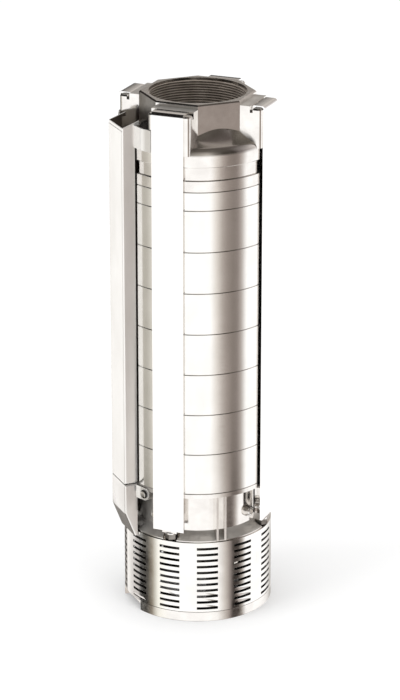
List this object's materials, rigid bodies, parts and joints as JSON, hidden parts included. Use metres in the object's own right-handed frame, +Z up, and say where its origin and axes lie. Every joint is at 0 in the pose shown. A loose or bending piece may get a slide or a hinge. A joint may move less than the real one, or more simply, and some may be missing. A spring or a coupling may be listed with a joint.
{
  "type": "borehole submersible pump end",
  "caption": "Slim multistage stainless pump end with octagonal threaded discharge neck, outer straps, cable guard and slotted suction strainer.",
  "frame": {"origin": "centre of the motor flange face at the bottom of the pump end", "axes": "+Z up the shaft to the discharge neck, -Y through the front strap, +X through the right strap; the cable guard is between -X and -Y"},
  "size_m": [0.138, 0.138, 0.4795],
  "materials": {
    "chamber_steel": "polished stainless sheet",
    "strainer_steel": "polished stainless sheet",
    "guard_steel": "satin stainless sheet",
    "strap_steel": "bright stainless strip",
    "cast_steel": "satin cast stainless",
    "valve_steel": "satin stainless",
    "fastener_steel": "bright stainless",
    "shaft_steel": "ground stainless bar",
    "impeller_steel": "pressed stainless",
    "rubber": "moulded nitrile rubber",
    "wear_ring": "moulded",
    "spring_steel": "drawn wire"
  },
  "bodies": {
    "pump_body": {"chamber_1": "chamber_steel", "chamber_2": "chamber_steel", "chamber_3": "chamber_steel", "chamber_4": "chamber_steel", "chamber_5": "chamber_steel", "chamber_6": "chamber_steel", "chamber_7": "chamber_steel", "top_chamber": "chamber_steel", "strainer": "strainer_steel", "cable_guard": "guard_steel", "cable_guard_funnel": "guard_steel", "strap_front": "strap_steel", "strap_right": "strap_steel", "strap_back": "strap_steel", "strap_left": "strap_steel", "valve_casing": "cast_steel", "suction_interconnector": "cast_steel", "valve_guide": "valve_steel", "upper_seat_retainer": "valve_steel", "lower_seat_retainer": "valve_steel", "strap_studs": "fastener_steel", "strap_nuts": "fastener_steel", "strap_washers": "fastener_steel", "cable_guard_screws": "fastener_steel", "bowl_plugs": "fastener_steel", "stage_bearings": "rubber", "top_bearing": "rubber", "valve_seat": "rubber", "casing_o_ring": "rubber", "neck_rings": "wear_ring"},
    "rotor": {"pump_shaft": "shaft_steel", "shaft_coupling": "shaft_steel", "split_cones": "shaft_steel", "cone_nuts": "fastener_steel", "impeller_1": "impeller_steel", "impeller_2": "impeller_steel", "impeller_3": "impeller_steel", "impeller_4": "impeller_steel", "impeller_5": "impeller_steel", "impeller_6": "impeller_steel", "impeller_7": "impeller_steel"},
    "valve": {"valve_cup": "valve_steel", "valve_spring": "spring_steel"}
  },
  "joints": [
    {"name": "rotor_spin", "type": "hinge", "parent": "pump_body", "child": "rotor", "pos_m": [0, 0, 0.25], "axis": [0, 0, 1], "continuous": true},
    {"name": "check_valve_lift", "type": "slide", "parent": "pump_body", "child": "valve", "axis": [0, 0, 1], "range_m": [0, 0.012], "stiffness_N_per_m": 100, "springref_m": -0.01, "deforming": ["valve_spring"]}
  ]
}
